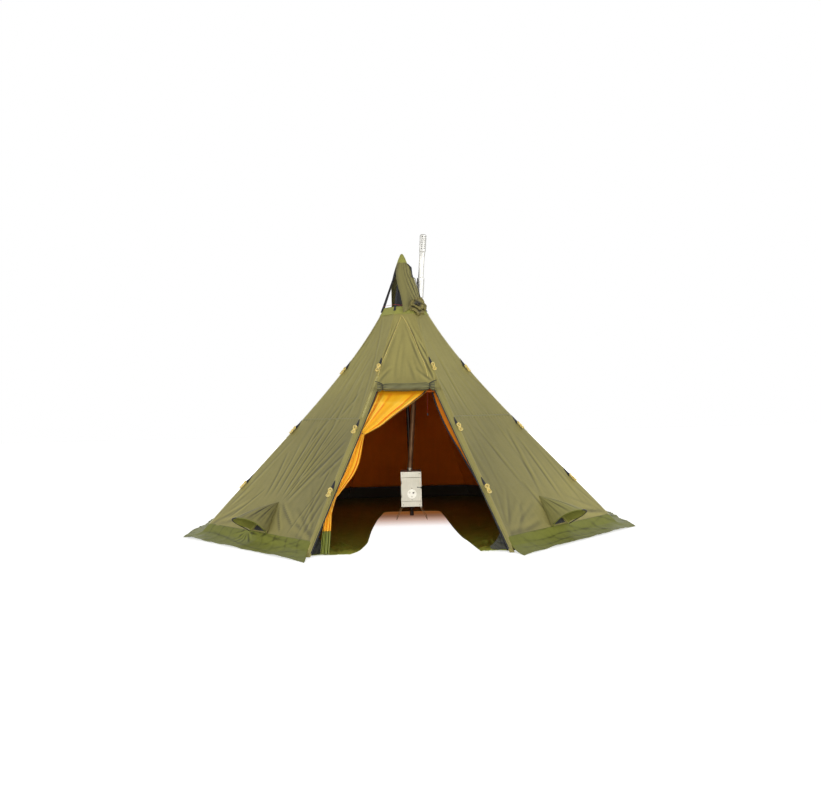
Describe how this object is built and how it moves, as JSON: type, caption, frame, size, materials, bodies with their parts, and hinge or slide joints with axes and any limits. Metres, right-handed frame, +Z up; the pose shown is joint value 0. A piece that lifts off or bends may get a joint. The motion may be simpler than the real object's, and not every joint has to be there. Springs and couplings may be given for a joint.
{
  "type": "tipi tent",
  "caption": "Eight-sided tipi tent on a centre pole, with a rolled-up door, an inner tent, vent hoods, a crown cap and a small wood stove with its flue.",
  "frame": {"origin": "on the ground at the middle of the tent's footprint", "axes": "+Z up; the doorway faces -Y; +X is to the right seen from the door"},
  "size_m": [4.6988, 4.6983, 3.3137],
  "materials": {
    "canvas": "matte coated cloth",
    "lime": "matte cloth",
    "webbing": "woven webbing",
    "inner": "thin cloth",
    "drape": "thin cloth",
    "floor": "coated groundsheet",
    "mesh": "open mesh",
    "pole": "dark anodised",
    "plastic": "matte",
    "titanium": "satin sheet metal",
    "flue": "rolled sheet metal",
    "red": "cord",
    "cord": "cord"
  },
  "bodies": {
    "tent": {"fly_side_1": "canvas", "fly_side_2": "canvas", "fly_side_3": "canvas", "fly_side_4": "canvas", "fly_side_5": "canvas", "fly_side_6": "canvas", "fly_side_7": "canvas", "fly_gable": "canvas", "door_jamb_left": "canvas", "door_jamb_right": "canvas", "door_roll": "canvas", "cap_body": "canvas", "vent_hood_left": "canvas", "vent_hood_right": "canvas", "ridge_strap_1": "canvas", "ridge_strap_2": "canvas", "ridge_strap_3": "canvas", "ridge_strap_4": "canvas", "ridge_strap_5": "canvas", "ridge_strap_6": "canvas", "ridge_strap_7": "canvas", "ridge_strap_8": "canvas", "crown_rim": "lime", "cap_peak": "lime", "crown_webbing": "webbing", "roll_tie_left": "webbing", "roll_tie_right": "webbing", "inner_side_1": "inner", "inner_side_2": "inner", "inner_side_3": "inner", "inner_side_4": "inner", "inner_side_5": "inner", "inner_side_6": "inner", "inner_side_7": "inner", "inner_front": "inner", "inner_crown": "inner", "inner_door": "drape", "ground_sheet": "floor", "smoke_mesh": "mesh", "pole_upper": "pole", "pole_head": "plastic", "pull_toggle": "plastic", "stove_body": "titanium", "flue_lower": "flue", "flue_upper": "flue", "pull_cord": "red", "cap_cord_left": "cord", "cap_cord_right": "cord"},
    "pole_base": {"pole_lower": "pole", "pole_foot": "plastic"},
    "lever": {"clamp_lever": "plastic"},
    "door": {"stove_door": "titanium"},
    "disc": {"draught_disc": "titanium"},
    "latch": {"door_latch": "titanium"},
    "left_leg": {"stove_leg_left": "titanium"},
    "right_leg": {"stove_leg_right": "titanium"},
    "left_stay": {"vent_stay_left": "plastic"},
    "right_stay": {"vent_stay_right": "plastic"},
    "guard": {"flue_guard": "flue"},
    "arrestor": {"spark_arrestor": "flue"}
  },
  "joints": [
    {"name": "pole_slide", "type": "slide", "parent": "tent", "child": "pole_base", "axis": [-0.0163, -0.078, 0.9968], "range_m": [0, 0.3]},
    {"name": "clamp_hinge", "type": "hinge", "parent": "pole_base", "child": "lever", "pos_m": [-0.01881, 0.09579, 1.59391], "axis": [-0.3131, 0.9472, 0.069], "range_deg": [0, 90]},
    {"name": "stove_door_hinge", "type": "hinge", "parent": "tent", "child": "door", "pos_m": [-0.0784, -0.1844, 0.355], "axis": [0, 0, -1], "range_deg": [0, 110]},
    {"name": "disc_turn", "type": "hinge", "parent": "door", "child": "disc", "pos_m": [0.04, -0.1833, 0.304], "axis": [0, -1, 0], "range_deg": [0, 60]},
    {"name": "latch_turn", "type": "hinge", "parent": "door", "child": "latch", "pos_m": [0.105, -0.1833, 0.378], "axis": [0, -1, 0], "range_deg": [0, 60]},
    {"name": "left_leg_fold", "type": "hinge", "parent": "tent", "child": "left_leg", "pos_m": [-0.0715, -0.01, 0.1509], "axis": [0, 1, 0], "range_deg": [-116, 0]},
    {"name": "right_leg_fold", "type": "hinge", "parent": "tent", "child": "right_leg", "pos_m": [0.1395, -0.01, 0.1429], "axis": [0, 1, 0], "range_deg": [0, 116]},
    {"name": "left_stay_swing", "type": "hinge", "parent": "tent", "child": "left_stay", "pos_m": [-1.41112, -1.46769, 0.2], "axis": [0.7071, -0.7071, 0], "range_deg": [0, 50]},
    {"name": "right_stay_swing", "type": "hinge", "parent": "tent", "child": "right_stay", "pos_m": [1.41112, -1.46769, 0.2], "axis": [0.7071, 0.7071, 0], "range_deg": [0, 50]},
    {"name": "guard_slide", "type": "slide", "parent": "tent", "child": "guard", "axis": [0.0805, -0.0398, 0.996], "range_m": [0, 0.2]},
    {"name": "arrestor_pull", "type": "slide", "parent": "tent", "child": "arrestor", "axis": [0.0805, -0.0398, 0.996], "range_m": [0, 0.08]}
  ]
}
